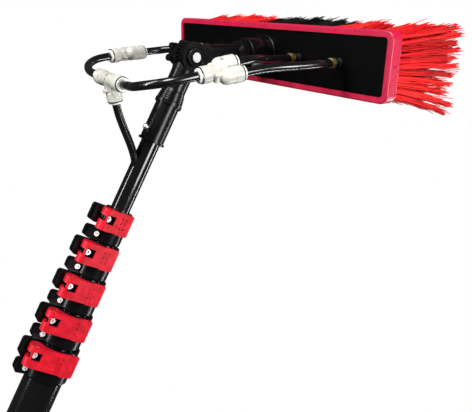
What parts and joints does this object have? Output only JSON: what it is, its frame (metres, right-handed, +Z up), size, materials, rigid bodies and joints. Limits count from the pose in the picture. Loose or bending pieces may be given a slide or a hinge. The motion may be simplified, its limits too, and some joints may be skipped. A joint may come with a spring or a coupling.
{
  "type": "window cleaning pole",
  "caption": "Telescopic water-fed window cleaning pole with lever clamps, a tilting brush head, water nozzles and push-fit hoses.",
  "frame": {"origin": "centre of the pole's butt end, at the mouth of the hole in the butt cap", "axes": "+Z up the pole towards the brush; +X along the head's tilt axis and the brush's long side; the brush leans towards +Y"},
  "size_m": [0.39, 0.2578, 1.7829],
  "materials": {
    "pole": "satin black coated tube, fine dark weave",
    "top_pole": "satin black coated tube",
    "black_plastic": "matte black moulded plastic",
    "red_lever": "semi-gloss red moulded plastic",
    "steel": "bright steel screws and pins",
    "red_block": "semi-gloss red moulded plastic",
    "panel": "fine-grained matte black plastic sheet",
    "red_bristle": "fine red filaments",
    "black_bristle": "fine black filaments",
    "brass": "machined brass",
    "fitting": "off-white moulded plastic",
    "collet": "white moulded plastic",
    "hose": "smooth black tubing",
    "white_cap": "white plastic cap"
  },
  "bodies": {
    "base": {"pole_section_6": "pole", "butt_cap": "black_plastic", "clamp_5_body": "black_plastic", "clamp_5_barrel": "black_plastic", "clamp_5_fasteners": "steel"},
    "section_5": {"pole_section_5": "pole", "section_bush_5": "black_plastic", "clamp_4_body": "black_plastic", "clamp_4_barrel": "black_plastic", "clamp_4_fasteners": "steel"},
    "section_4": {"pole_section_4": "pole", "section_bush_4": "black_plastic", "clamp_3_body": "black_plastic", "clamp_3_barrel": "black_plastic", "clamp_3_fasteners": "steel"},
    "section_3": {"pole_section_3": "pole", "section_bush_3": "black_plastic", "clamp_2_body": "black_plastic", "clamp_2_barrel": "black_plastic", "clamp_2_fasteners": "steel"},
    "section_2": {"pole_section_2": "pole", "section_bush_2": "black_plastic", "clamp_1_body": "black_plastic", "clamp_1_barrel": "black_plastic", "clamp_1_fasteners": "steel"},
    "section_1": {"pole_section_1": "top_pole", "section_bush_1": "black_plastic", "adapter_sleeve": "black_plastic", "sleeve_ring": "black_plastic", "button_spring": "steel", "pole_knuckle": "black_plastic", "tee_body": "fitting", "tee_collets": "collet", "feed_hose": "hose", "hose_tail": "collet"},
    "lever_5": {"clamp_5_lever": "red_lever"},
    "lever_4": {"clamp_4_lever": "red_lever"},
    "lever_3": {"clamp_3_lever": "red_lever"},
    "lever_2": {"clamp_2_lever": "red_lever"},
    "lever_1": {"clamp_1_lever": "red_lever"},
    "head": {"knuckle_arm": "black_plastic", "pivot_bolt": "steel", "pivot_cap": "white_cap", "brush_socket": "black_plastic", "brush_block": "red_block", "back_panel": "panel", "red_bristles": "red_bristle", "black_bristles": "black_bristle", "nozzles": "brass", "y_body_near": "fitting", "y_body_far": "fitting", "y_collets": "collet", "loop_hose_near": "hose", "loop_hose_far": "hose", "inner_lead_near": "hose", "inner_lead_far": "hose", "outer_lead_near": "hose", "outer_lead_far": "hose"},
    "knob": {"tilt_knob": "black_plastic"},
    "button": {"snap_button": "steel"}
  },
  "joints": [
    {"name": "section_5_slide", "type": "slide", "parent": "base", "child": "section_5", "axis": [0, 0, 1], "range_m": [0, 1]},
    {"name": "section_4_slide", "type": "slide", "parent": "section_5", "child": "section_4", "axis": [0, 0, 1], "range_m": [0, 1]},
    {"name": "section_3_slide", "type": "slide", "parent": "section_4", "child": "section_3", "axis": [0, 0, 1], "range_m": [0, 1]},
    {"name": "section_2_slide", "type": "slide", "parent": "section_3", "child": "section_2", "axis": [0, 0, 1], "range_m": [0, 1]},
    {"name": "section_1_slide", "type": "slide", "parent": "section_2", "child": "section_1", "axis": [0, 0, 1], "range_m": [0, 1]},
    {"name": "lever_5_hinge", "type": "hinge", "parent": "base", "child": "lever_5", "pos_m": [0.00949, -0.02729, 1.3189], "axis": [0, 0, -1], "range_deg": [0, 110]},
    {"name": "lever_4_hinge", "type": "hinge", "parent": "section_5", "child": "lever_4", "pos_m": [0.00977, -0.02531, 1.3567], "axis": [0, 0, -1], "range_deg": [0, 110]},
    {"name": "lever_3_hinge", "type": "hinge", "parent": "section_4", "child": "lever_3", "pos_m": [0.01005, -0.02333, 1.3945], "axis": [0, 0, -1], "range_deg": [0, 110]},
    {"name": "lever_2_hinge", "type": "hinge", "parent": "section_3", "child": "lever_2", "pos_m": [0.01033, -0.02134, 1.4323], "axis": [0, 0, -1], "range_deg": [0, 110]},
    {"name": "lever_1_hinge", "type": "hinge", "parent": "section_2", "child": "lever_1", "pos_m": [0.0132, -0.0177, 1.4701], "axis": [0, 0, -1], "range_deg": [0, 110]},
    {"name": "head_tilt", "type": "hinge", "parent": "section_1", "child": "head", "pos_m": [0, 0, 1.654], "axis": [1, 0, 0], "range_deg": [-30, 60], "deforming": ["loop_hose_near", "loop_hose_far"]},
    {"name": "knob_turn", "type": "hinge", "parent": "head", "child": "knob", "pos_m": [-0.017, 0, 1.654], "axis": [1, 0, 0], "range_deg": [0, 360]},
    {"name": "button_press", "type": "slide", "parent": "section_1", "child": "button", "axis": [0, 1, 0], "range_m": [0, 0.0045], "stiffness_N_per_m": 1500, "springref_m": -0.003, "deforming": ["button_spring"]}
  ]
}
